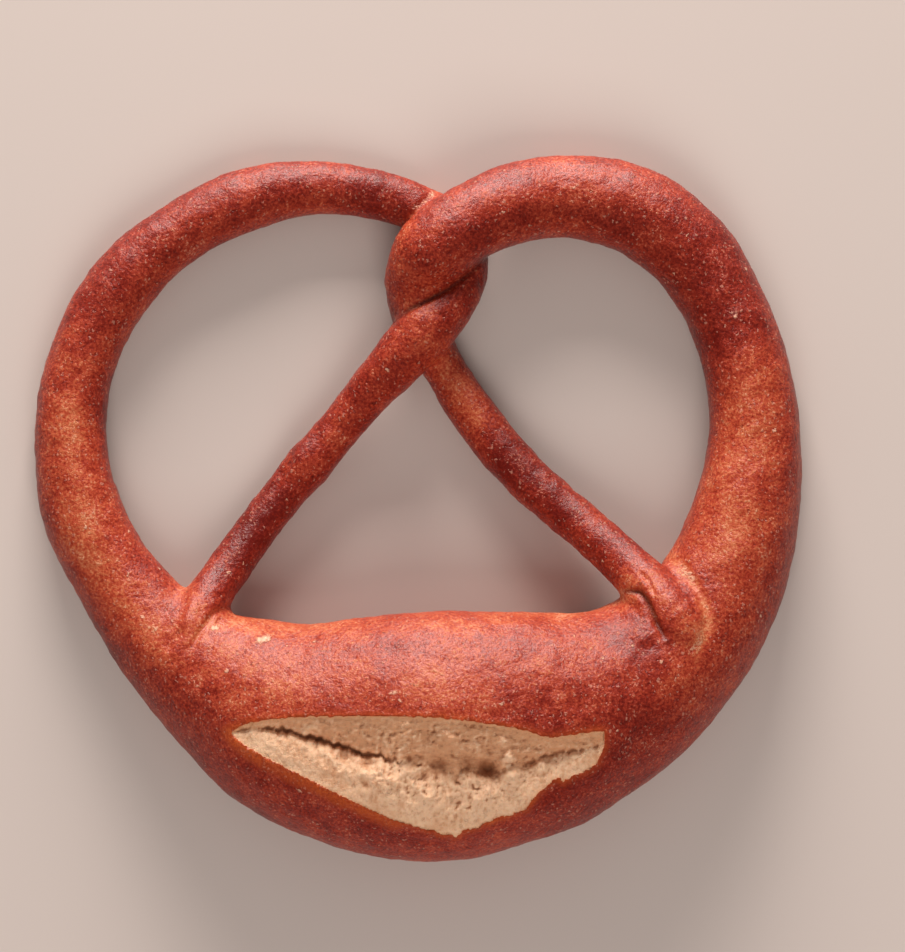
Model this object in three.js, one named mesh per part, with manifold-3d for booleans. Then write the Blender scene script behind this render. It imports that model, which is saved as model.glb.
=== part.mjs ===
// A soft lye pretzel, lying face up as it was baked.
// One strand of dough, thick in its middle and thin at both ends, runs from the left arm through the twist,
// round the left loop, across the belly, round the right loop and back through the twist to the right arm.
// Units are millimetres and +Z is up. The pretzel stands on z = 0 and its origin is under its middle.

import * as THREE from "three";
import { mergeVertices } from "three/addons/utils/BufferGeometryUtils.js";
import Module from "manifold-3d";

const wasm = await Module();
wasm.setup();

// ---- Driving dimensions ----

const SECTION_SIDES = 28; // sides of the strand's section
const RING_SPACING = 4.5; // along the strand
const SETTLED = 0.12; // share of the strand's height that baked flat against the tray
const SLUMP_WIDTH = 180; // a strand this wide would bake out flat, so thin dough stays nearly round

const SLASH_GROOVE = 0.34; // where the slash is deepest, as a share of the way from upper to lower lip
const SLASH_CLEARANCE = 5; // how far the cutting solid stands above the crust
const SLASH_SIDES = 24; // sides of the cutting solid's section

const TRAY_SIDE = 300; // a block wider than the pretzel
const TRAY_DEPTH = 40;
const ABOVE_IT_ALL = 100; // a height over the whole pretzel, to look down from
const WELD = 1e-4; // corners closer than this are one corner

// ---- Stations along the strand ----
// Each is [x, y, width, lift]: its place seen from above, its width, and how far its underside is raised
// off the tray where it climbs over another stretch.

const LEFT_ARM = [
  [-39.6, -24.6, 7.4, 9.8],
  [-37.0, -19.4, 8.0, 8.6],
  [-33.9, -13.8, 7.8, 5.2],
  [-30.0, -8.2, 7.3, 2.4],
  [-25.7, -2.3, 6.8, 1.2],
  [-21.0, 3.5, 6.8, 1.2],
  [-17.6, 7.6, 7.7, 1.6],
  [-13.6, 12.2, 6.9, 1.8],
  [-8.9, 17.9, 7.2, 2.8],
  [-3.5, 24.1, 8.7, 4.4],
  [1.2, 29.3, 9.6, 5.2],
  [5.4, 34.0, 9.2, 4.0],
];

const LEFT_LOOP = [
  [7.6, 39.6, 8.6, 1.6],
  [5.8, 45.6, 8.2, 0],
  [0.4, 49.8, 8.2, 0],
  [-7.8, 52.3, 8.6, 0],
  [-19.0, 53.1, 9.1, 0],
  [-30.6, 50.4, 10.4, 0],
  [-42.4, 43.6, 11.1, 0],
  [-51.2, 33.9, 11.5, 0],
  [-56.3, 22.4, 11.6, 0],
  [-57.8, 10.6, 12.1, 0],
  [-55.3, -1.6, 13.4, 0],
  [-49.1, -12.9, 15.0, 0],
  [-40.4, -23.2, 18.8, 0],
  [-29.6, -30.7, 26.8, 0],
];

const BELLY = [
  [-17.0, -36.2, 35.6, 0],
  [0.5, -37.8, 41.8, 0],
  [18.5, -35.6, 38.2, 0],
];

const RIGHT_LOOP = [
  [33.6, -30.4, 30.2, 0],
  [45.0, -21.6, 23.6, 0],
  [51.4, -11.4, 20.4, 0],
  [55.0, 0.8, 17.8, 0],
  [56.2, 12.5, 15.5, 0],
  [54.4, 24.5, 14.4, 0],
  [50.4, 34.8, 14.2, 0],
  [44.2, 43.8, 14.6, 0],
  [35.2, 49.9, 14.6, 0],
  [23.5, 51.7, 13.6, 0.6],
  [12.2, 49.0, 12.8, 3.8],
  [4.0, 44.0, 12.7, 5.0],
];

const RIGHT_ARM = [
  [0.2, 38.2, 11.0, 3.0],
  [0.6, 31.4, 8.8, 0.6],
  [4.6, 23.1, 6.9, 0],
  [10.6, 14.0, 7.5, 0.4],
  [18.2, 5.2, 8.2, 1.4],
  [26.4, -2.2, 8.0, 3.4],
  [33.2, -8.2, 7.8, 6.6],
  [38.6, -13.6, 8.6, 9.8],
  [42.4, -18.2, 9.0, 11.8],
  [44.0, -20.6, 8.6, 12.2],
];

// ---- Stations along the slash, from its left tip to its right one ----
// Each is [x, upper lip, lower lip, depth]: the lips as y, the depth below the crust's own curve.

const SLASH = [
  [-29.8, -36.6, -37.6, 0.8],
  [-25.5, -34.9, -41.2, 2.6],
  [-18.5, -34.1, -44.8, 4.0],
  [-10.5, -34.0, -49.2, 5.0],
  [-2.5, -34.1, -52.5, 5.6],
  [5.5, -34.4, -54.0, 5.8],
  [12.5, -35.4, -52.0, 5.4],
  [19.0, -36.6, -48.8, 4.8],
  [25.0, -37.0, -45.0, 3.6],
  [30.4, -36.8, -41.6, 1.4],
];

// ---- The strand ----

const UP = new THREE.Vector3(0, 0, 1);
const DOWN = new THREE.Vector3(0, 0, -1);
const stations = [...LEFT_ARM, ...LEFT_LOOP, ...BELLY, ...RIGHT_LOOP, ...RIGHT_ARM];
const last = stations.length - 1;

function heightOf(width) {
  return width * (1 - width / SLUMP_WIDTH);
}

// The route runs through the middle of the dough. Beside it a second curve carries the width along.
const route = new THREE.CatmullRomCurve3(
  stations.map(([x, y, width, lift]) => new THREE.Vector3(x, y, lift + heightOf(width) * (0.5 - SETTLED))),
);
const widths = new THREE.CatmullRomCurve3(stations.map(([, , width], i) => new THREE.Vector3(width, i, 0)));

// The dough from one station to another: a cylinder, bent along the route.
function doughBetween(from, to) {
  let length = 0;
  for (let i = from; i < to; i++) {
    length += route.getPoint(i / last).distanceTo(route.getPoint((i + 1) / last));
  }
  const rings = Math.ceil(length / RING_SPACING);
  const dough = new THREE.CylinderGeometry(1, 1, 1, SECTION_SIDES, rings);
  const corners = dough.getAttribute("position");
  for (let i = 0; i < corners.count; i++) {
    const along = (from + (corners.getY(i) + 0.5) * (to - from)) / last;
    const corner = route.getPoint(along);
    const forward = route.getTangent(along);
    const across = forward.clone().cross(UP).normalize();
    const upright = across.clone().cross(forward);
    const width = widths.getPoint(along).x;
    corner.addScaledVector(across, (corners.getX(i) * width) / 2);
    corner.addScaledVector(upright, (corners.getZ(i) * heightOf(width)) / 2);
    corners.setXYZ(i, corner.x, corner.y, corner.z);
  }
  return dough;
}

// A ball rounds off each of the strand's two free ends.
function endBall(station) {
  const width = stations[station][2];
  const middle = route.getPoint(station / last);
  const ball = new THREE.SphereGeometry(width / 2, SECTION_SIDES, SECTION_SIDES / 2);
  return ball.scale(1, 1, heightOf(width) / width).translate(middle.x, middle.y, middle.z);
}

// ---- Between three.js geometry and solids ----

function solidFrom(geometry) {
  const merged = mergeVertices(geometry.clone().deleteAttribute("normal").deleteAttribute("uv"), WELD);
  return new wasm.Manifold(
    new wasm.Mesh({
      numProp: 3,
      vertProperties: merged.getAttribute("position").array,
      triVerts: new Uint32Array(merged.index.array),
    }),
  );
}

function geometryFrom(solid) {
  const mesh = solid.getMesh();
  const geometry = new THREE.BufferGeometry();
  geometry.setAttribute("position", new THREE.BufferAttribute(mesh.vertProperties, 3));
  geometry.setIndex(new THREE.BufferAttribute(mesh.triVerts, 1));
  return geometry;
}

// ---- The loaf ----

// Four lengths of dough meet end to end: twice inside the twist, and once under the belly's middle.
const intoLeftLoop = LEFT_ARM.length;
const bellyMiddle = LEFT_ARM.length + LEFT_LOOP.length + 1;
const intoRightArm = stations.length - RIGHT_ARM.length;
const joined = solidFrom(doughBetween(0, intoLeftLoop))
  .add(solidFrom(doughBetween(intoLeftLoop, bellyMiddle)))
  .add(solidFrom(doughBetween(bellyMiddle, intoRightArm)))
  .add(solidFrom(doughBetween(intoRightArm, last)))
  .add(solidFrom(endBall(0)))
  .add(solidFrom(endBall(last)));

// The tray: dough that would hang below z = 0 baked flat against it.
const tray = new THREE.BoxGeometry(TRAY_SIDE, TRAY_SIDE, TRAY_DEPTH).translate(0, 0, -TRAY_DEPTH / 2);
const settled = joined.subtract(solidFrom(tray));

// The slash: a blade's cut that opened in the oven. Its crumb drops steeply from the upper lip and rises
// gently to the lower one, and its floor follows the belly's own curve.
function slashThrough(bread) {
  const crust = new THREE.Mesh(bread, new THREE.MeshBasicMaterial({ side: THREE.DoubleSide }));
  const fromAbove = new THREE.Raycaster();
  const opening = new THREE.CylinderGeometry(1, 1, 1, SLASH_SIDES, SLASH.length - 1);
  const corners = opening.getAttribute("position");
  for (let i = 0; i < corners.count; i++) {
    const [x, upper, lower, depth] = SLASH[Math.round((corners.getY(i) + 0.5) * (SLASH.length - 1))];
    const groove = upper + (lower - upper) * SLASH_GROOVE;
    const towards = corners.getX(i);
    const y = groove + Math.abs(towards) * ((towards > 0 ? lower : upper) - groove);
    fromAbove.set(new THREE.Vector3(x, y, ABOVE_IT_ALL), DOWN);
    const surface = fromAbove.intersectObject(crust)[0].point.z;
    const rise = corners.getZ(i);
    corners.setXYZ(i, x, y, surface + rise * (rise > 0 ? SLASH_CLEARANCE : depth));
  }
  return opening;
}

const baked = settled.subtract(solidFrom(slashThrough(geometryFrom(settled))));

// ---- The finished part ----

const bread = geometryFrom(baked);
bread.computeBoundingBox();
const middle = bread.boundingBox.getCenter(new THREE.Vector3());
bread.translate(-middle.x, -middle.y, 0);

const crust = new THREE.MeshStandardMaterial({ color: 0x8e3a22, roughness: 0.5, metalness: 0 });
const pretzel = new THREE.Mesh(bread, crust);
pretzel.name = "pretzel";

const part = new THREE.Group();
part.add(pretzel);
export default part;
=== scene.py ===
import math

import bmesh
import bpy
import numpy as np
from mathutils import Matrix, Vector, bvhtree, kdtree, noise


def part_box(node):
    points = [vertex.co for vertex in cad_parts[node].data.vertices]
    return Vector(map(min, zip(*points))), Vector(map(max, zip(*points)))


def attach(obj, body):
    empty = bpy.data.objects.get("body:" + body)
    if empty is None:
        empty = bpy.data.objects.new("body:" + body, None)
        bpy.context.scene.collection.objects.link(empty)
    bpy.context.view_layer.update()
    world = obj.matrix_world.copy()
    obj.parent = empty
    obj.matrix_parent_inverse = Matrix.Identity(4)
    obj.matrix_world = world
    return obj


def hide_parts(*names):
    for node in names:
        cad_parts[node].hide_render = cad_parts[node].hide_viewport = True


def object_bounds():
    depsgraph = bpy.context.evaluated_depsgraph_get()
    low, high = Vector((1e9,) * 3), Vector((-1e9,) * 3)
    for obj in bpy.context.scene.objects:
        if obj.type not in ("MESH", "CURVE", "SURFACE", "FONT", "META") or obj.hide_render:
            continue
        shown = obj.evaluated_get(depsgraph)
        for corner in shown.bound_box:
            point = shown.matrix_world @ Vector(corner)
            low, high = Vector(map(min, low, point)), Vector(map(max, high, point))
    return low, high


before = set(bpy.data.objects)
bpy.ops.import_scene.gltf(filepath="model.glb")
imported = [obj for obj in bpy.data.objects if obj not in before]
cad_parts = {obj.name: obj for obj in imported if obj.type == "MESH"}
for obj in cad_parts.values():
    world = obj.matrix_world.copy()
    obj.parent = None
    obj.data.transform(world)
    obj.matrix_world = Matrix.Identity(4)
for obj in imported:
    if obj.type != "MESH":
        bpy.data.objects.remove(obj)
cad_low, cad_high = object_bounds()
MM = 0.001


# ---- The view ----
# The pretzel lies face up, so the camera hangs straight over it, with the loops at the top of the
# view. It looks past the pretzel's middle, from so far off that the raised dough hardly seems to lean.

VIEW_HEIGHT = 158 * MM  # of the strip of table that the camera takes in
VIEW_MIDDLE = Vector((5.8 * MM, 5.3 * MM, 8 * MM))
CAMERA_DISTANCE = 1.4
SENSOR = 36.0

camera = bpy.data.objects.new("camera", bpy.data.cameras.new("camera"))
bpy.context.scene.collection.objects.link(camera)
camera.data.sensor_width = SENSOR
camera.data.lens = SENSOR * CAMERA_DISTANCE / VIEW_HEIGHT
camera.location = VIEW_MIDDLE + Vector((0, 0, CAMERA_DISTANCE))
bpy.context.scene.camera = camera


# ---- Table and light ----
# A pale warm tabletop that runs out of the view on every side. The light is a low soft window beyond
# the loops, a weak wide reflector on the near side, and the glow of a pale room.

TABLE_COLOUR = (0.605, 0.515, 0.475)
WINDOW_WARMTH = (1.0, 0.95, 0.90)
ROOM_GLOW = 0.34


def soft_light(name, place, size, watts):
    lamp = bpy.data.objects.new(name, bpy.data.lights.new(name, "AREA"))
    lamp.data.size = size
    lamp.data.energy = watts
    lamp.data.color = WINDOW_WARMTH
    lamp.location = place
    lamp.rotation_euler = (VIEW_MIDDLE - lamp.location).to_track_quat("-Z", "Y").to_euler()
    bpy.context.scene.collection.objects.link(lamp)
    return lamp


soft_light("window", Vector((-0.05, 0.85, 0.23)), size=0.42, watts=14.8)
reflector = soft_light("reflector", Vector((0.05, -0.75, 0.85)), size=0.7, watts=5.8)
reflector.visible_glossy = False  # a matt wall, so it draws no shine on the crust

room = bpy.data.worlds.new("room")
bpy.context.scene.world = room
room.use_nodes = True
room.node_tree.nodes["Background"].inputs["Color"].default_value = (1, 0.97, 0.94, 1)
room.node_tree.nodes["Background"].inputs["Strength"].default_value = ROOM_GLOW
room.cycles_visibility.glossy = False  # its glow fills shadows, but would veil the dark crust
bpy.context.scene.view_settings.view_transform = "Standard"

table_material = bpy.data.materials.new("pale_tabletop")
table_material.use_nodes = True
tabletop = table_material.node_tree.nodes["Principled BSDF"]
tabletop.inputs["Base Color"].default_value = (*TABLE_COLOUR, 1)
tabletop.inputs["Roughness"].default_value = 0.85
tabletop.inputs["Specular IOR Level"].default_value = 0.1

slab = bmesh.new()
bmesh.ops.create_grid(slab, x_segments=1, y_segments=1, size=3)
table_mesh = bpy.data.meshes.new("tabletop")
slab.to_mesh(table_mesh)
slab.free()
table = bpy.data.objects.new("tabletop", table_mesh)
table.data.materials.append(table_material)
bpy.context.scene.collection.objects.link(table)


# ---- The dough ----
# One strand of wheat dough, rolled by hand thick in its middle and thin at its ends. It lies in two
# loops, is twisted once round itself, and its ends are pressed onto the belly.
# Each station is [x, y, width, lift] in millimetres: its place seen from above, its width, and how
# far its underside is raised off the tray where it climbs over another stretch.

STRAND = [
    [-39.6, -24.6, 7.4, 9.8],
    [-37.0, -19.4, 8.0, 8.6],
    [-33.9, -13.8, 7.8, 5.2],
    [-30.0, -8.2, 7.3, 2.4],
    [-25.7, -2.3, 6.8, 1.2],
    [-21.0, 3.5, 6.8, 1.2],
    [-17.6, 7.6, 7.7, 1.6],
    [-13.6, 12.2, 6.9, 1.8],
    [-8.9, 17.9, 7.2, 2.8],
    [-3.5, 24.1, 8.7, 4.4],
    [1.2, 29.3, 9.6, 5.2],
    [5.4, 34.0, 9.2, 4.0],
    [7.6, 39.6, 8.6, 1.6],
    [5.8, 45.6, 8.2, 0],
    [0.4, 49.8, 8.2, 0],
    [-7.8, 52.3, 8.6, 0],
    [-19.0, 53.1, 9.1, 0],
    [-30.6, 50.4, 10.4, 0],
    [-42.4, 43.6, 11.1, 0],
    [-51.2, 33.9, 11.5, 0],
    [-56.3, 22.4, 11.6, 0],
    [-57.8, 10.6, 12.1, 0],
    [-55.3, -1.6, 13.4, 0],
    [-49.1, -12.9, 15.0, 0],
    [-40.4, -23.2, 18.8, 0],
    [-29.6, -30.7, 26.8, 0],
    [-17.0, -36.2, 35.6, 0],
    [0.5, -37.8, 41.8, 0],
    [18.5, -35.6, 38.2, 0],
    [33.6, -30.4, 30.2, 0],
    [45.0, -21.6, 23.6, 0],
    [51.4, -11.4, 20.4, 0],
    [55.0, 0.8, 17.8, 0],
    [56.2, 12.5, 15.5, 0],
    [54.4, 24.5, 14.4, 0],
    [50.4, 34.8, 14.2, 0],
    [44.2, 43.8, 14.6, 0],
    [35.2, 49.9, 14.6, 0],
    [23.5, 51.7, 13.6, 0.6],
    [12.2, 49.0, 12.8, 3.8],
    [4.0, 44.0, 12.7, 5.0],
    [0.2, 38.2, 11.0, 3.0],
    [0.6, 31.4, 8.8, 0.6],
    [4.6, 23.1, 6.9, 0],
    [10.6, 14.0, 7.5, 0.4],
    [18.2, 5.2, 8.2, 1.4],
    [26.4, -2.2, 8.0, 3.4],
    [33.2, -8.2, 7.8, 6.6],
    [38.6, -13.6, 8.6, 9.8],
    [42.4, -18.2, 9.0, 11.8],
    [44.0, -20.6, 8.6, 12.2],
]
SLUMP_WIDTH = 180  # a strand this wide would bake out flat, so thin dough stays nearly round
SETTLED = 0.12  # share of the strand's height that baked flat against the tray
RINGS_PER_STATION = 8
RING_SIDES = 64
UP = Vector((0, 0, 1))


def slumped(width):
    return width * (1 - width / SLUMP_WIDTH)


def on_curve(before, start, end, after, share):
    """The point at that share of the way from start to end, on a smooth curve through all four."""
    straight = 2 * start + (end - before) * share
    bend = (2 * before - 5 * start + 4 * end - after) * share**2
    return (straight + bend + (3 * start - before - 3 * end + after) * share**3) / 2


# Each point of the route carries its width along as a fourth number.
stations = [Vector((x, y, lift + slumped(w) * (0.5 - SETTLED), w)) for x, y, w, lift in STRAND]
padded = [stations[0] * 2 - stations[1], *stations, stations[-1] * 2 - stations[-2]]
route = [
    on_curve(*padded[i : i + 4], step / RINGS_PER_STATION)
    for i in range(len(stations) - 1)
    for step in range(RINGS_PER_STATION)
]
route.append(stations[-1])


def section_frame(i):
    """Puts a unit circle round the route's point i, square to the strand."""
    ahead, behind = route[min(i + 1, len(route) - 1)], route[max(i - 1, 0)]
    forward = (ahead.xyz - behind.xyz).normalized()
    across = UP.cross(forward).normalized()
    upright = forward.cross(across)
    width = route[i].w
    columns = (across * width / 2, upright * slumped(width) / 2, forward)
    turned = Matrix(columns).transposed().to_4x4()
    return Matrix.Translation(route[i].xyz) @ turned


sections = [section_frame(i) for i in range(len(route))]
dough = bmesh.new()
bmesh.ops.create_circle(dough, cap_ends=True, segments=RING_SIDES, radius=1, matrix=sections[0])
tip = dough.faces[:][0]
for before, after in zip(sections, sections[1:]):
    grown = bmesh.ops.extrude_face_region(dough, geom=[tip])["geom"]
    tip = next(part for part in grown if isinstance(part, bmesh.types.BMFace))
    bmesh.ops.transform(dough, matrix=after @ before.inverted(), verts=tip.verts)
for end, section in ((stations[0], sections[0]), (stations[-1], sections[-1])):
    round_end = section @ Matrix.Diagonal((1, 1, end.w / 2, 1))
    bmesh.ops.create_uvsphere(dough, u_segments=32, v_segments=16, radius=1, matrix=round_end)
bmesh.ops.recalc_face_normals(dough, faces=dough.faces)

# Whatever would hang below the tray baked flat against it. Then the dough takes its place in the
# frame.
for vert in dough.verts:
    vert.co.z = max(vert.co.z, 0)
xs = [vert.co.x for vert in dough.verts]
ys = [vert.co.y for vert in dough.verts]
dough_middle = Vector((max(xs) + min(xs), max(ys) + min(ys), 0)) / 2
node_low, node_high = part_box("pretzel")
place = Vector(((node_low.x + node_high.x) / 2, (node_low.y + node_high.y) / 2, 0))
shift = place / MM - dough_middle
bmesh.ops.translate(dough, vec=shift, verts=dough.verts)
bmesh.ops.scale(dough, vec=(MM, MM, MM), verts=dough.verts)


# ---- Proof and bake ----
# Rising and baking weld the strand to itself wherever it touches, and leave a slightly lumpy skin.
# The remesh joins the touching dough, and smoothing rounds the seams as far as real dough melts.

GRAIN = 0.68 * MM  # the mesh's own fineness
BAKE_SMOOTHING = 5

skin = bpy.data.meshes.new("baked_pretzel")
dough.to_mesh(skin)
dough.free()
pretzel = bpy.data.objects.new("baked_pretzel", skin)
bpy.context.scene.collection.objects.link(pretzel)


def bake_modifier(piece, kind, **settings):
    """Adds a modifier, applies it, and leaves the piece with the plain mesh that it made."""
    modifier = piece.modifiers.new(kind.lower(), kind)
    for name, value in settings.items():
        setattr(modifier, name, value)
    made = piece.evaluated_get(bpy.context.evaluated_depsgraph_get())
    mesh = bpy.data.meshes.new_from_object(made)
    piece.modifiers.clear()
    piece.data = mesh


def soften(dough, verts, rounds):
    every_axis = {"use_axis_x": True, "use_axis_y": True, "use_axis_z": True}
    for _ in range(rounds):
        bmesh.ops.smooth_vert(dough, verts=verts, factor=0.5, **every_axis)


def strand_spots(verts):
    """The places of the points seen from above, in millimetres, as the strand's stations are given."""
    return np.array([vert.co.xy for vert in verts]) / MM - np.array(shift.xy)


bake_modifier(pretzel, "REMESH", mode="VOXEL", voxel_size=GRAIN)
bread = bmesh.new()
bread.from_mesh(pretzel.data)
soften(bread, bread.verts, BAKE_SMOOTHING)

# Where the ends were pressed on and the strands cross. The flanks there run into each other over so
# many rounds of smoothing, and the mesh is made finer to hold the creases:
# [x, y, reach, rounds, fine reach].
JOINS = [
    [-39.5, -24.5, 6.5, 20, 0],
    [-36.5, -18.0, 5.0, 6, 8.5],
    [46.6, -17.6, 4.6, 12, 0],
    [44.8, -23.5, 4.0, 8, 0],
    [41.6, -16.0, 0, 0, 10.0],
    [1.6, 50.2, 4.0, 4, 5.5],
    [3.4, 36.4, 0, 0, 10.5],
    [-25.2, -21.7, 0, 0, 2.6],
]
CLEAR_OF_TRAY = 3 * MM
FINE_ROUNDS = 2


def upper_side(x, y, reach):
    """The points within reach of that place, clear of the tray."""
    near = np.linalg.norm(strand_spots(bread.verts) - (x, y), axis=1) < reach
    return {v for v, is_near in zip(bread.verts, near) if is_near and v.co.z > CLEAR_OF_TRAY}


for x, y, reach, rounds, fine_reach in JOINS:
    soften(bread, list(upper_side(x, y, reach)), rounds)
    fine = upper_side(x, y, fine_reach)
    edges = [edge for edge in bread.edges if edge.verts[0] in fine and edge.verts[1] in fine]
    if edges:
        bmesh.ops.subdivide_edges(bread, edges=edges, cuts=1, use_grid_fill=True)
        soften(bread, list(upper_side(x, y, fine_reach)), FINE_ROUNDS)

# Creases between pressed pieces of dough, and folds that the fingers left. Each is a line in
# millimetres, the half-width of its groove, and the groove's depth; a ridge's depth is below nothing.
FOLDS = [
    # the right arm sinks in beside the belly's corner, which stands up along it
    (
        [(34.6, -13.7), (36.8, -13.9), (37.9, -15.2), (38.7, -16.9), (39.5, -18.9), (41.3, -22.0)],
        0.42,
        1.3,
    ),
    ([(33.0, -15.4), (35.4, -16.4), (36.6, -18.4), (37.8, -21.0), (38.8, -22.6)], 2.0, -0.45),
    # its other side, where it runs into the loop
    (
        [(41.8, -7.8), (44.2, -10.2), (46.6, -13.8), (47.8, -17.0), (47.9, -20.3), (46.2, -23.2)],
        0.8,
        0.45,
    ),
    # a thin fold along it, and the swelling beside that
    ([(36.8, -10.4), (38.3, -12.3), (39.4, -14.6)], 0.3, 0.5),
    ([(37.0, -11.8), (38.3, -13.6)], 0.5, -0.25),
    # the left arm's flanks, and the flute down its pressed end
    ([(-37.8, -13.6), (-38.8, -16.9), (-40.8, -21.1), (-41.8, -24.2)], 0.6, 0.30),
    ([(-30.6, -16.2), (-33.3, -17.4), (-35.3, -19.9), (-37.5, -23.8)], 0.5, 0.55),
    ([(-38.4, -19.6), (-41.1, -23.8)], 0.6, 0.30),
    # a flake of dough stuck to the belly beside the left arm
    ([(-27.6, -22.6), (-25.2, -21.7), (-22.8, -20.8)], 0.8, -0.35),
    # a fold along the left arm
    ([(-20.3, 10.5), (-21.2, 8.0), (-22.3, 5.0), (-24.4, 1.0)], 0.6, 0.6),
    # the twist
    ([(-3.9, 30.7), (-0.9, 33.0), (2.9, 35.0), (5.4, 36.3), (9.0, 39.0), (11.7, 41.7)], 0.40, 0.9),
    # the left loop's top dives under the right one
    ([(3.6, 53.0), (2.1, 51.3), (0.4, 50.0), (-0.9, 48.1), (-2.4, 46.2)], 0.6, 0.5),
]
FOLD_FADE = 5  # a fold fades out over the last fifth at each end
FOLD_SQUARENESS = 4
LUMPS = [[0.06, 0.5], [0.20, 0.20], [0.55, 0.12], [1.0, 0.06]]  # [waves per mm, height in mm]
STUCK_HEIGHT = 1.5  # mm over which the skin comes free of the tray and can swell


def from_line(spots, line):
    """How far each spot is from a crooked line, and how far along the line that is, from 0 to 1."""
    best, along = np.full(len(spots), np.inf), np.zeros(len(spots))
    for i, (start, end) in enumerate(zip(line, line[1:])):
        step = np.subtract(end, start)
        share = np.clip((spots - start) @ step / (step @ step), 0, 1)
        away = np.linalg.norm(spots - start - share[:, None] * step, axis=1)
        nearer = away < best
        best[nearer], along[nearer] = away[nearer], ((i + share) / (len(line) - 1))[nearer]
    return best, along


def lumpiness(vert):
    """How far the skin swells out there, in millimetres."""
    return sum(noise.noise(vert.co / MM * waves) * height for waves, height in LUMPS)


bread.normal_update()
spots = strand_spots(bread.verts)
swell = np.array([lumpiness(vert) for vert in bread.verts])
facing_up = np.array([max(0, vert.normal.z) for vert in bread.verts])
for line, half_width, depth in FOLDS:
    away, along = from_line(spots, line)
    fade = np.clip(np.minimum(along, 1 - along) * FOLD_FADE, 0, 1)
    swell -= depth * fade * facing_up / (1 + (away / half_width) ** FOLD_SQUARENESS)
for vert, rise in zip(bread.verts, swell):
    freed = min(1, max(0, vert.co.z / MM / STUCK_HEIGHT))
    vert.co += vert.normal * rise * MM * freed
    vert.co.z = max(vert.co.z, 0)
bread.normal_update()


# ---- The slash ----
# Before baking, a blade was drawn along the belly. In the oven the cut tore open and the crumb
# swelled out of it: a torn bank falls from the upper lip into a crack, and a full one bulges from
# there to the ragged lower lip. Each station is [x, upper lip, lower lip, groove, depth]: the lips
# as y, the groove as a share of the way between them, and the depth below the crust's own curve.

SLASH = [
    [-30.4, -36.8, -37.2, 0.40, 0.3],
    [-28.5, -35.6, -39.0, 0.24, 0.8],
    [-24.5, -34.7, -41.2, 0.22, 1.4],
    [-18.5, -34.2, -44.2, 0.32, 1.9],
    [-10.5, -34.0, -48.2, 0.41, 2.3],
    [-4.0, -34.0, -51.2, 0.42, 2.5],
    [2.0, -34.1, -53.0, 0.43, 2.6],
    [6.4, -34.5, -54.0, 0.45, 2.8],
    [9.5, -34.9, -52.6, 0.46, 2.9],
    [12.5, -35.4, -51.4, 0.46, 2.9],
    [15.5, -35.8, -50.4, 0.46, 2.6],
    [18.0, -36.4, -49.6, 0.45, 2.4],
    [20.4, -37.2, -46.4, 0.42, 2.1],
    [22.5, -37.6, -45.0, 0.40, 1.9],
    [26.5, -37.0, -44.0, 0.38, 1.6],
    [29.6, -36.6, -42.2, 0.40, 1.3],
    [30.9, -36.6, -39.4, 0.45, 0.6],
]
HOLLOWS = [  # of the torn crumb: [x, y, reach, depth], and ridges with a depth below nothing
    [11.8, -42.9, 1.6, 2.7],
    [8.4, -42.0, 1.8, 1.5],
    [3.6, -41.6, 1.9, 1.2],
    [-0.6, -41.0, 1.3, 0.9],
    [-11.6, -40.4, 1.5, 0.8],
    [14.6, -38.2, 1.2, -0.8],
    [15.2, -41.0, 1.0, -1.6],
    [15.7, -43.8, 1.2, -1.4],
    [18.4, -41.4, 1.3, 0.9],
    [-15.6, -37.4, 1.6, 0.5],
    [-8.0, -41.4, 1.3, 0.8],
    [-8.2, -45.3, 0.7, 0.9],
    [1.2, -44.0, 0.9, 1.0],
    [-3.6, -50.2, 0.9, 0.5],
    [4.6, -42.4, 1.1, 0.6],
]
CRACK = [  # along the groove: [x, extra depth]
    [-26.0, 0.2],
    [-22, 1.0],
    [-14, 1.5],
    [-7, 1.2],
    [-3, 0.2],
    [0, 0],
    [17, 0],
    [20, 0.5],
    [25, 0.5],
    [28, 0],
]
TEAR_GRAIN = 0.26 * MM
CRACK_HALF_WIDTH = 0.55
OUTSIDE_RISE = 6  # how steeply the blade climbs away from the crust outside the slash
OUTSIDE_TOP = 12  # and how far
LEAST_CUT = 0.08  # even where a ridge of crumb comes up to the crust
EDGE_RELIEF = 0.25  # share of the crumb's unevenness at the lips
FULL_RELIEF_DEPTH = 1.2
slash_xs, upper_lips, lower_lips, grooves, depths = (np.array(column) for column in zip(*SLASH))
crack_xs, crack_depths = zip(*CRACK)
noise.seed_set(1)  # so that the crumb's pores fall in the same places each time
slash_low = Vector((slash_xs.min() - 2, lower_lips.min() - 3, 0)) + shift
slash_high = Vector((slash_xs.max() + 2, upper_lips.max() + 3, 0)) + shift


def uneven(*place):
    return noise.noise(Vector(place))


def bank(x, y):
    """How far down the slash y is at x, from lip to lip as a share; its lips, groove and depth."""
    rows = (upper_lips, lower_lips, grooves, depths)
    upper, lower, groove, depth = (np.interp(x, slash_xs, row) for row in rows)
    torn = min(1, max(0, (x + 4) / 10))  # the right half of the lower lip is ragged
    groove += (0.03 + 0.07 * torn) * uneven(x * 0.4, 6, 0) + 0.03 * uneven(x * 1.3, 7, 0)
    upper += 0.22 * uneven(x * 0.9, 0, 0) + 0.15 * uneven(x * 2.3, 5, 0)
    lower += 0.14 * uneven(x * 1.1, 9, 0)
    lower += torn * (0.8 * uneven(x * 0.55, 2, 0) + 0.4 * uneven(x * 1.6, 3, 0))
    return (upper - y) / (upper - lower), upper, lower, groove, depth


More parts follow.
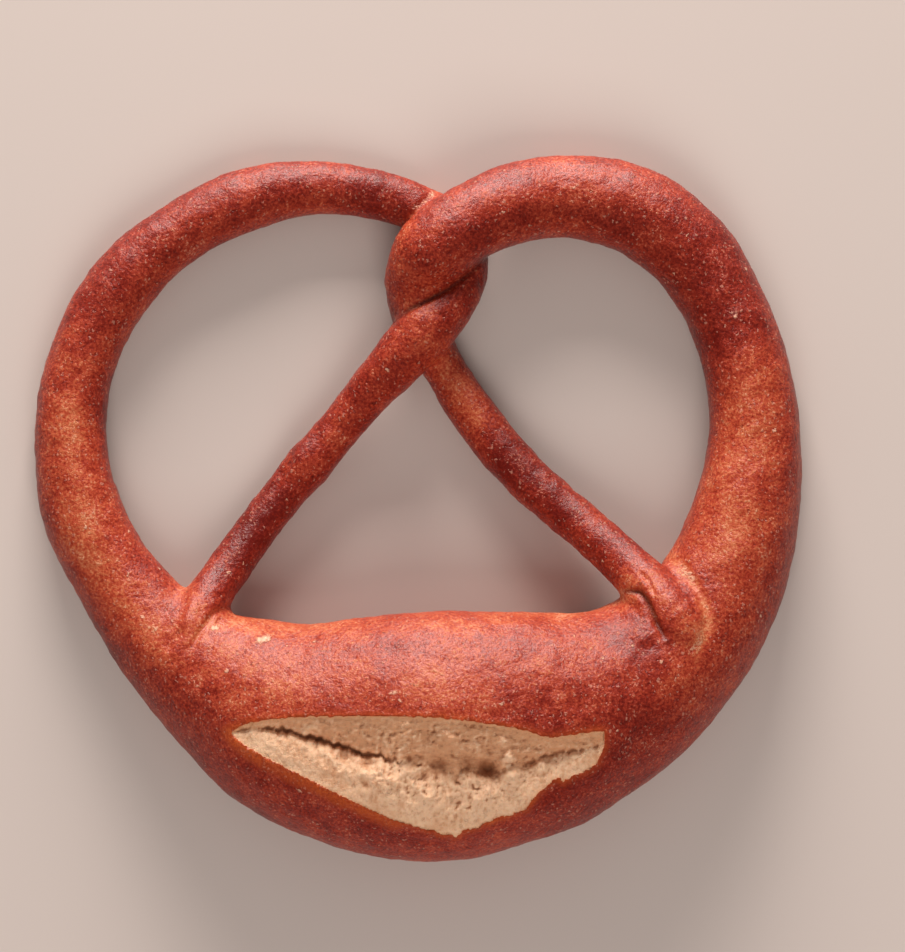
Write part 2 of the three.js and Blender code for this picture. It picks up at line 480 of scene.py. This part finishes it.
def torn_depth(x, y):
    """How far the torn crumb lies below the crust, in millimetres; negative outside the slash."""
    share, upper, lower, groove, depth = bank(x, y)
    past_tip = max(slash_xs[0] - x, x - slash_xs[-1], 0)
    if share <= 0 or share >= 1 or past_tip > 0:
        return -min(OUTSIDE_RISE * max(y - upper, lower - y, past_tip), OUTSIDE_TOP) - 0.05
    from_groove = (share - groove) * (upper - lower)
    crack = np.interp(x, crack_xs, crack_depths, left=0, right=0)
    crack *= math.exp(-((from_groove / CRACK_HALF_WIDTH) ** 2))
    if share < groove:
        return depth * (0.16 * min(1, share / groove * 12) + 0.84 * share / groove) + crack
    rise = (1 - share) / (1 - groove)
    steep = 1.7 + 3.3 * min(1, max(0, (-2 - x) / 4))  # the left half broke open along a sharp edge
    return depth * (0.36 * rise**0.7 + 0.64 * rise**steep) + crack


def pit(spot, cell, reach):
    """1 at the middle of a pore, falling to 0 at its rim. A cell that wide holds one pore."""
    distances, _ = noise.voronoi(spot / cell)
    return max(0, 1 - distances[0] / reach)


def dented(x, y):
    """How deep the hollows and ridges of the torn crumb are there, in millimetres."""
    dents = (
        depth * math.exp(-(((x - hx) ** 2 + (y - hy) ** 2) / reach**2))
        for hx, hy, reach, depth in HOLLOWS
    )
    return sum(dents)


def torn_relief(x, y):
    """The crumb's own unevenness, in millimetres: lumps, pores, and layers drawn out by the tear."""
    share, _, _, groove, _ = bank(x, y)
    upper_bank = min(1, max(0, (groove - share) / 0.12 + 0.5))
    spot = Vector((x, y, 3.7))
    wander = spot + noise.noise_vector(spot * 0.9) * 0.8
    lumps = 0.6 * noise.noise(spot * 0.30) + 0.4 * noise.noise(spot * 0.7)
    layers = 0.35 * abs(uneven(x * 0.3, y * 0.8, 8.1)) + 0.2 * uneven(x * 0.9, y * 1.6, 4)
    fibres = 0.14 * uneven(x * 1.6, y * 0.9, 1.3)
    pores = 0.7 * pit(wander, 3.1, 0.27) + 0.32 * pit(wander, 1.25, 0.45)
    grit = 0.30 * noise.noise(spot * 1.5) + 0.18 * noise.noise(spot * 2.9)
    return lumps + layers * upper_bank + fibres * (1 - upper_bank) + pores + grit + dented(x, y)


crust_above = bvhtree.BVHTree.FromBMesh(bread)
tear = bmesh.new()
bmesh.ops.create_grid(
    tear,
    x_segments=round((slash_high.x - slash_low.x) * MM / TEAR_GRAIN),
    y_segments=round((slash_high.y - slash_low.y) * MM / TEAR_GRAIN),
    size=0.5,
)
bmesh.ops.scale(tear, vec=(slash_high - slash_low) * MM + UP, verts=tear.verts)
bmesh.ops.translate(tear, vec=(slash_low + slash_high) * MM / 2, verts=tear.verts)
above_it_all = cad_high.z + 0.02
for vert in tear.verts:
    x, y, _ = vert.co / MM - shift
    crust = crust_above.ray_cast(Vector((vert.co.x, vert.co.y, above_it_all)), -UP)[0]
    depth = sunk = torn_depth(x, y)
    if depth > 0:
        sunk += torn_relief(x, y) * min(1, max(EDGE_RELIEF, depth / FULL_RELIEF_DEPTH))
    vert.co.z = (crust.z if crust else 0) - max(sunk, min(depth, LEAST_CUT)) * MM
walls = bmesh.ops.extrude_face_region(tear, geom=tear.faces[:])["geom"]
for part in walls:
    if isinstance(part, bmesh.types.BMVert):
        part.co.z = above_it_all
bmesh.ops.recalc_face_normals(tear, faces=tear.faces)

bread.to_mesh(pretzel.data)
bread.free()

tear_mesh = bpy.data.meshes.new("tear")
tear.to_mesh(tear_mesh)
tear.free()
blade = bpy.data.objects.new("tear", tear_mesh)
bpy.context.scene.collection.objects.link(blade)

crust_material = bpy.data.materials.new("lye_crust")
crumb_material = bpy.data.materials.new("torn_crumb")
for piece in (pretzel, blade):
    piece.data.materials.clear()
    piece.data.materials.append(crust_material)
    piece.data.materials.append(crumb_material)
blade.data.polygons.foreach_set("material_index", [1] * len(blade.data.polygons))
bake_modifier(pretzel, "BOOLEAN", operation="DIFFERENCE", object=blade, solver="MANIFOLD")
bpy.data.objects.remove(blade)


# ---- What the finishes follow ----
# Crust that lay in a hollow or against other dough baked paler, so the shape itself carries that along,
# with the distance from the slash's lip, the crumb's pores and its upper bank. The pores, hollows and
# sharp folds also set where shade is painted.

SHARP_FOLD = 0.8  # a fold this deep closed on itself, and its bottom is darkened with painted shade
CREASE_SHADE_REACH = 1.6  # times the fold's half-width
SLASH_SIDE = -30  # the whole slash lies nearer than this, so its shape is only worked out there
CREVICE_REACH = 22  # rounds of smoothing, which reach about 4 mm
FULL_CREVICE = 0.5 * MM
PORE_REACH = 5
FULL_PORE = 0.22 * MM

finished = bmesh.new()
finished.from_mesh(pretzel.data)
finished.normal_update()


def hollowness(rounds, full):
    """0 on level and rounded surfaces, rising to 1 at the bottom of a hollow that deep."""
    rest = [vert.co.copy() for vert in finished.verts]
    soften(finished, finished.verts, rounds)
    moved = [(vert.co - before).dot(vert.normal) / full for vert, before in zip(finished.verts, rest)]
    for vert, before in zip(finished.verts, rest):
        vert.co = before
    return np.clip(moved, -1, 1)


def paint(name, values):
    layer = pretzel.data.attributes.new(name, "FLOAT", "POINT")
    layer.data.foreach_set("value", values)


# Crust that stayed pale or turned orange, and, where the strength is below nothing, darker crust, in
# two places painted shade: [line in millimetres, reach, strength].
PALE_AND_SHADED = [
    ([(-33, -24), (-20, -27), (10, -28), (24, -27)], 12.0, 0.22),
    ([(-31, -18), (-20, -19.2), (0, -18.6), (22, -17.6), (34.5, -14.8)], 4.4, 0.28),
    ([(-26, -46), (-2, -56), (22, -50)], 9.0, 0.03),
    ([(-58, 14), (-56, -4), (-48, -17), (-42, -22)], 7.5, 0.42),
    ([(-57, 30), (-57, 14)], 6.0, 0.12),
    ([(-46, -28), (-36, -37)], 6.0, 0.12),
    # painted shade in the hollow of the flute below the left arm's end
    ([(-40.5, -21.5), (-38.4, -23.6)], 2.4, -0.16),
    ([(-44, -13), (-39, -13.5)], 4.0, 0.18),
    ([(-37, -15), (-35.5, -20)], 4.5, 0.28),
    ([(3.4, 52.8), (0.4, 50.0), (-2.0, 46.6)], 2.2, 0.16),
    ([(-2.0, 46.0), (-4.6, 40.0)], 3.6, 0.22),
    ([(6, 50), (14, 51)], 5.0, 0.14),
    ([(2, 46), (0, 34)], 7.0, 0.15),
    (
        [(41.8, -7.8), (44.4, -10.6), (46.6, -13.8), (47.8, -17.0), (47.9, -20.3), (46.4, -23.0)],
        2.2,
        0.34,
    ),
    ([(33.5, -14.2), (36.6, -14.6), (38.2, -17.4), (40.0, -21.4)], 1.6, 0.12),
    ([(37, -11), (44, -20)], 4.5, 0.26),
    ([(48, -6), (54, 8), (55, 22)], 9.0, 0.34),
    ([(55, -4), (52, -14), (44, -28)], 8.0, 0.20),
    ([(29, -29), (36, -34)], 6.0, -0.12),
    ([(-34, 46), (-46, 38)], 6.0, 0.10),
    ([(-24, 53), (-8, 52.5)], 5.0, -0.10),
    ([(-11, 16), (-19, 6)], 4.0, 0.20),
    # painted shade: the left arm darker below its fold
    ([(-23, 2), (-30, -8)], 3.5, -0.22),
    ([(5, 23), (10, 15)], 4.0, 0.28),
    ([(15, 9), (25, -1)], 4.0, -0.20),
    ([(58, 22), (52, 34)], 6.0, 0.12),
]
CREAM = [  # bare dough that the lye missed
    ([(2.8, 52.3), (1.4, 50.9)], 1.0, 0.6),
    ([(0.6, 50.3), (-0.4, 49.8)], 0.8, 0.6),
    ([(44.2, -10.2), (45.4, -11.7)], 1.5, 0.5),
    ([(46.9, -22.3), (45.4, -23.4)], 1.2, 0.5),
    ([(-25.9, -21.9), (-24.5, -21.4)], 1.15, 1.1),
    ([(-33.6, -19.9), (-32.9, -19.8)], 0.7, 0.8),
    ([(-40.0, -12.3), (-38.2, -13.2)], 0.9, 0.7),
    ([(33.6, -13.9), (36.2, -14.2)], 0.8, 0.6),
    ([(-13.0, -18.9), (-12.0, -18.7)], 0.8, 0.7),
    ([(-4.0, -30.2), (-3.4, -30.2)], 0.8, 0.8),
    ([(52.4, 32.4), (52.8, 31.6)], 0.9, 0.7),
]
HALF_BAKED = [  # the thin crust that the tear pushed up along the lower lip
    ([(-31.5, -37.0), (-29.0, -40.0), (-24, -43.6), (-14, -48.0), (-4, -52.8)], 3.4, 1.0),
    ([(19, -47.5), (12, -51.5)], 1.6, 0.6),
]


def painted(spots, strokes):
    """The strokes' strengths added up, each one full on its line and nothing at its reach."""
    total = np.zeros(len(spots))
    for line, reach, strength in strokes:
        away, _ = from_line(spots, line)
        near = np.clip(1 - away / reach, 0, 1)
        total += strength * near * near * (3 - 2 * near)
    return total


spots = strand_spots(finished.verts)
off_flanks = np.clip([vert.normal.z * 2 - 0.4 for vert in finished.verts], 0, 1)
# the sharp folds, along whose bottoms shade is painted
shaded_creases = [(line, CREASE_SHADE_REACH * width, 1) for line, width, depth in FOLDS if depth >= SHARP_FOLD]
lip = [e for e in finished.edges if len({face.material_index for face in e.link_faces}) > 1]
lip_tree = kdtree.KDTree(len(lip))
for i, edge in enumerate(lip):
    lip_tree.insert((edge.verts[0].co + edge.verts[1].co) / 2, i)
lip_tree.balance()
finishes = {
    "crevice": hollowness(CREVICE_REACH, FULL_CREVICE),
    "pore": hollowness(PORE_REACH, FULL_PORE),
    "from_lip": [lip_tree.find(vert.co)[2] / MM for vert in finished.verts],
    "pale": painted(spots, PALE_AND_SHADED),
    "cream": painted(spots, CREAM) * off_flanks,
    "half_baked": painted(spots, HALF_BAKED),
    "crease_shade": painted(spots, shaded_creases),
    "dented": [dented(x, y) if y < SLASH_SIDE else 0 for x, y in spots],
    "upper_bank": [bank(x, y)[3] - bank(x, y)[0] if y < SLASH_SIDE else 0 for x, y in spots],
}
finished.free()
for name, values in finishes.items():
    paint(name, values)
pretzel.data.polygons.foreach_set("use_smooth", [True] * len(pretzel.data.polygons))


# ---- Specks ----
# Both the crust and the crumb are dotted: bran and scorched starch on the crust, gas bubbles in the
# crumb. The group scatters irregular dots, and its mask is 1 inside them.


def wired(tree, node, inputs):
    """Each input is a value, or the output of another node."""
    for name, value in inputs.items():
        if isinstance(value, bpy.types.NodeSocket):
            tree.links.new(value, node.inputs[name])
        else:
            node.inputs[name].default_value = value
    return node


def add(tree, kind, inputs, **settings):
    node = tree.nodes.new("ShaderNode" + kind)
    for name, value in settings.items():
        setattr(node, name, value)
    return wired(tree, node, inputs)


def times(tree, a, b):
    return add(tree, "Math", {0: a, 1: b}, operation="MULTIPLY").outputs[0]


def ramp(tree, value, low, high, to_low=0.0, to_high=1.0):
    inputs = {0: value, 1: low, 2: high, 3: to_low, 4: to_high}
    return add(tree, "MapRange", inputs, interpolation_type="SMOOTHSTEP").outputs[0]


def blend(tree, share, under, over):
    return add(tree, "Mix", {0: share, 6: under, 7: over}, data_type="RGBA").outputs[2]


def summed(tree, start, *parts):
    """The start, and each part times its weight, added up."""
    total = start
    for value, weight in parts:
        inputs = {0: value, 1: weight, 2: total}
        total = add(tree, "Math", inputs, operation="MULTIPLY_ADD").outputs[0]
    return total


def clouds(tree, spot, per_metre, detail=2.0, roughness=0.5):
    inputs = {"Vector": spot, "Scale": per_metre, "Detail": detail, "Roughness": roughness}
    return add(tree, "TexNoise", inputs).outputs[0]


specks = bpy.data.node_groups.new("specks", "ShaderNodeTree")
for name, kind in (("Spot", "Vector"), ("Per Metre", "Float"), ("Share", "Float"), ("Size", "Float")):
    specks.interface.new_socket(name, in_out="INPUT", socket_type="NodeSocket" + kind)
specks.interface.new_socket("Mask", in_out="OUTPUT", socket_type="NodeSocketFloat")
given = specks.nodes.new("NodeGroupInput")
given_spot = given.outputs["Spot"]
wobble_inputs = {"Vector": given_spot, "Scale": 1900, "Detail": 2}
wobble = add(specks, "TexNoise", wobble_inputs).outputs["Color"]
stray_inputs = {0: wobble, 1: (MM, MM, MM), 2: given_spot}
strayed = add(specks, "VectorMath", stray_inputs, operation="MULTIPLY_ADD").outputs[0]
cells = add(specks, "TexVoronoi", {"Vector": strayed, "Scale": given.outputs["Per Metre"]})
lot = add(specks, "SeparateColor", {0: cells.outputs["Color"]})
chosen_inputs = {0: lot.outputs[0], 1: given.outputs["Share"]}
chosen = add(specks, "Math", chosen_inputs, operation="LESS_THAN").outputs[0]
radius = times(specks, given.outputs["Size"], ramp(specks, lot.outputs[1], 0, 1, 0.5, 1.2))
inner = times(specks, radius, 0.6)
inside = ramp(specks, cells.outputs["Distance"], inner, radius, 1.0, 0.0)
specks_out = specks.nodes.new("NodeGroupOutput")
specks.links.new(times(specks, chosen, inside), specks_out.inputs["Mask"])


def scatter(tree, spot, per_metre, share, size):
    inputs = {"Spot": spot, "Per Metre": per_metre, "Share": share, "Size": size}
    return add(tree, "Group", inputs, node_tree=specks).outputs["Mask"]


def painted_mask(tree, name):
    return add(tree, "Attribute", {}, attribute_name=name).outputs["Fac"]


# ---- Lye crust ----
# The strand was dipped in lye before baking, which turns the crust a deep reddish mahogany with a
# satin gloss. It is orange where it baked least, finely blistered all over, and flecked with pale bran.

MAHOGANY = [
    (0.00, (0.140, 0.0050, 0.0018, 1)),
    (0.30, (0.265, 0.0170, 0.0060, 1)),
    (0.55, (0.420, 0.0480, 0.0170, 1)),
    (0.78, (0.530, 0.1150, 0.0420, 1)),
    (1.00, (0.640, 0.2250, 0.1050, 1)),
]
BRAN = (0.72, 0.34, 0.23, 1)
CREAM_DOUGH = (0.84, 0.47, 0.31, 1)
LIP_ORANGE = (0.58, 0.100, 0.013, 1)
LIP_RUST = (0.42, 0.050, 0.008, 1)
# scorched specks, and also the painted shade at the bottoms of sharp folds
SCORCH_AND_CREASE_SHADE = (0.07, 0.006, 0.004, 1)
TRAY_TAN = (0.50, 0.175, 0.070, 1)
TRAY_BROWN = (0.165, 0.030, 0.011, 1)
TRAY_LINE, FREE_OF_TRAY = 0.0022, 0.0038  # metres up: the tray's colour ends between them

crust_material.use_nodes = True
tree = crust_material.node_tree
shader = tree.nodes["Principled BSDF"]
spot = add(tree, "TexCoord", {}).outputs["Object"]
blotches = clouds(tree, spot, 55, 2)
mottling = clouds(tree, spot, 320, 3, 0.6)
grain = clouds(tree, spot, 2100, 3, 0.7)
bake = summed(
    tree,
    -1.26,
    (blotches, 0.75),
    (mottling, 0.75),
    (grain, 1.60),
    (painted_mask(tree, "crevice"), 0.10),
    (painted_mask(tree, "pale"), 1.0),
)
colours = tree.nodes.new("ShaderNodeValToRGB")
colours.color_ramp.elements[0].position, colours.color_ramp.elements[0].color = MAHOGANY[0]
colours.color_ramp.elements[1].position, colours.color_ramp.elements[1].color = MAHOGANY[-1]
for place, colour in MAHOGANY[1:-1]:
    colours.color_ramp.elements.new(place).color = colour
tree.links.new(bake, colours.inputs[0])

fine_bran = scatter(tree, spot, 1500, 0.42, 0.34)
broad_bran = scatter(tree, spot, 420, 0.14, 0.15)
scorched = scatter(tree, spot, 1000, 0.25, 0.26)
lift = add(tree, "SeparateXYZ", {0: spot}).outputs[2]
ragged_lift = summed(tree, lift, (mottling, 0.0024), (grain, 0.0012))
underside = ramp(tree, ragged_lift, TRAY_LINE, FREE_OF_TRAY, 1, 0)
tray_bake = ramp(tree, summed(tree, 0.0, (blotches, 0.5), (mottling, 0.7), (grain, 0.8)), 0.80, 1.20)
tray_side = blend(tree, tray_bake, TRAY_BROWN, TRAY_TAN)
from_lip = painted_mask(tree, "from_lip")
half_baked = painted_mask(tree, "half_baked")
from_glow = summed(tree, from_lip, (half_baked, -1.4), (mottling, 1.6), (grain, 2.4))
near_lip = ramp(tree, from_glow, 1.0, 3.6, 0.85, 0.0)
lip_glow = blend(tree, ramp(tree, grain, 0.36, 0.62), LIP_RUST, LIP_ORANGE)
flaky = summed(tree, painted_mask(tree, "cream"), (mottling, 1.3), (grain, 1.6))
cream = ramp(tree, flaky, 1.7, 2.35)

colour = blend(tree, times(tree, scorched, 0.35), colours.outputs[0], SCORCH_AND_CREASE_SHADE)
colour = blend(tree, times(tree, fine_bran, 0.40), colour, BRAN)
colour = blend(tree, times(tree, broad_bran, 0.60), colour, CREAM_DOUGH)
colour = blend(tree, near_lip, colour, lip_glow)
colour = blend(tree, times(tree, cream, 0.85), colour, CREAM_DOUGH)
# painted shade: the bottoms of the sharp folds are darkened
colour = blend(tree, times(tree, painted_mask(tree, "crease_shade"), 0.6), colour, SCORCH_AND_CREASE_SHADE)
colour = blend(tree, times(tree, underside, 0.85), colour, tray_side)
tree.links.new(colour, shader.inputs["Base Color"])
shader.inputs["Specular IOR Level"].default_value = 0.48

gloss = summed(
    tree,
    0.25,
    (mottling, 0.14),
    (grain, 0.14),
    (fine_bran, 0.08),
    (underside, 0.30),
    (cream, 0.2),
)
tree.links.new(gloss, shader.inputs["Roughness"])

blisters = clouds(tree, spot, 620, 2, 0.5)
skin_height = summed(
    tree,
    0.0,
    (blisters, 0.22),
    (grain, 0.17),
    (fine_bran, 0.06),
    (broad_bran, 0.12),
    (scorched, -0.06),
    (cream, 0.10),
)
skin_bump = add(tree, "Bump", {"Strength": 1.0, "Distance": MM, "Height": skin_height})
tree.links.new(skin_bump.outputs[0], shader.inputs["Normal"])


# ---- Torn crumb ----
# The inside of the bread, cream and slightly shiny where gluten tore into fibres. It is full of small
# gas bubbles, and toasted where it meets the crust; its pores, bubbles and hollows carry a darker,
# warmer painted shade.

CRUMB_CREAM = (0.86, 0.535, 0.335, 1)
CRUMB_TAN = (0.66, 0.320, 0.165, 1)
# painted shade, for the crumb's pores, bubbles, crevices and hollows
CRUMB_SHADE = (0.32, 0.115, 0.048, 1)
TOASTED = (0.56, 0.200, 0.070, 1)

crumb_material.use_nodes = True
tree = crumb_material.node_tree
shader = tree.nodes["Principled BSDF"]
spot = add(tree, "TexCoord", {}).outputs["Object"]
upper_bank = ramp(tree, painted_mask(tree, "upper_bank"), -0.10, 0.08)
pore = painted_mask(tree, "pore")
along_tear = add(tree, "Mapping", {"Vector": spot, "Scale": (0.7, 1.4, 1)}).outputs[0]
down_tear = add(tree, "Mapping", {"Vector": spot, "Scale": (1.15, 0.9, 1)}).outputs[0]
shreds_across = clouds(tree, along_tear, 1100, 3, 0.6)
shreds_down = clouds(tree, down_tear, 1100, 3, 0.6)
shreds = add(tree, "Mix", {0: upper_bank, 2: shreds_down, 3: shreds_across}).outputs[0]
patches = clouds(tree, spot, 260, 2)
bubbles = scatter(tree, spot, 700, 0.5, 0.34)
fine_bubbles = scatter(tree, spot, 1500, 0.55, 0.42)
from_lip = painted_mask(tree, "from_lip")
# how deep the crumb's hollows and crevices are; the colour darkens them as painted shade
hollow = painted_mask(tree, "dented")
deep = painted_mask(tree, "crevice")

tan = summed(
    tree,
    -0.90,
    (patches, 1.2),
    (shreds, 1.2),
    # the upper bank: partly its own darker tan, partly painted shade where it faces away from the light
    (upper_bank, 0.48),
    # painted shade: darker tan in the pores and hollows
    (pore, 0.5),
    (hollow, 0.40),
)
colour = blend(tree, ramp(tree, tan, 0.0, 0.9), CRUMB_CREAM, CRUMB_TAN)
# painted shade: the pores, bubbles, crevices and deep hollows are darkened, broken up by the shreds and
# patches
colour = blend(tree, ramp(tree, pore, 0.2, 1.0, 0.0, 0.60), colour, CRUMB_SHADE)
colour = blend(tree, times(tree, bubbles, 0.20), colour, CRUMB_SHADE)
colour = blend(tree, times(tree, fine_bubbles, 0.14), colour, CRUMB_SHADE)
colour = blend(tree, ramp(tree, deep, 0.2, 1.0, 0.0, 0.80), colour, CRUMB_SHADE)
hollow_shade = summed(tree, hollow, (shreds, 2.4), (patches, 1.2))
colour = blend(tree, ramp(tree, hollow_shade, 2.1, 4.0, 0.0, 0.85), colour, CRUMB_SHADE)
rim = summed(tree, from_lip, (shreds, 0.9))
colour = blend(tree, ramp(tree, rim, 0.35, 0.85, 0.55, 0.0), colour, TOASTED)
tree.links.new(colour, shader.inputs["Base Color"])
tree.links.new(summed(tree, 0.58, (shreds, 0.25)), shader.inputs["Roughness"])
shader.inputs["Subsurface Weight"].default_value = 0.15
shader.inputs["Subsurface Radius"].default_value = (1.0, 0.5, 0.3)
shader.inputs["Subsurface Scale"].default_value = 0.0012

crumb_height = summed(tree, 0.0, (shreds, 0.40), (bubbles, -0.10), (fine_bubbles, -0.05))
crumb_bump = add(tree, "Bump", {"Strength": 1.0, "Distance": MM, "Height": crumb_height})
tree.links.new(crumb_bump.outputs[0], shader.inputs["Normal"])


# ---- The finished pretzel ----
# One piece of bread, so one object, which stands for the whole of the solid that it was drawn from.

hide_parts("pretzel")
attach(pretzel, "root")
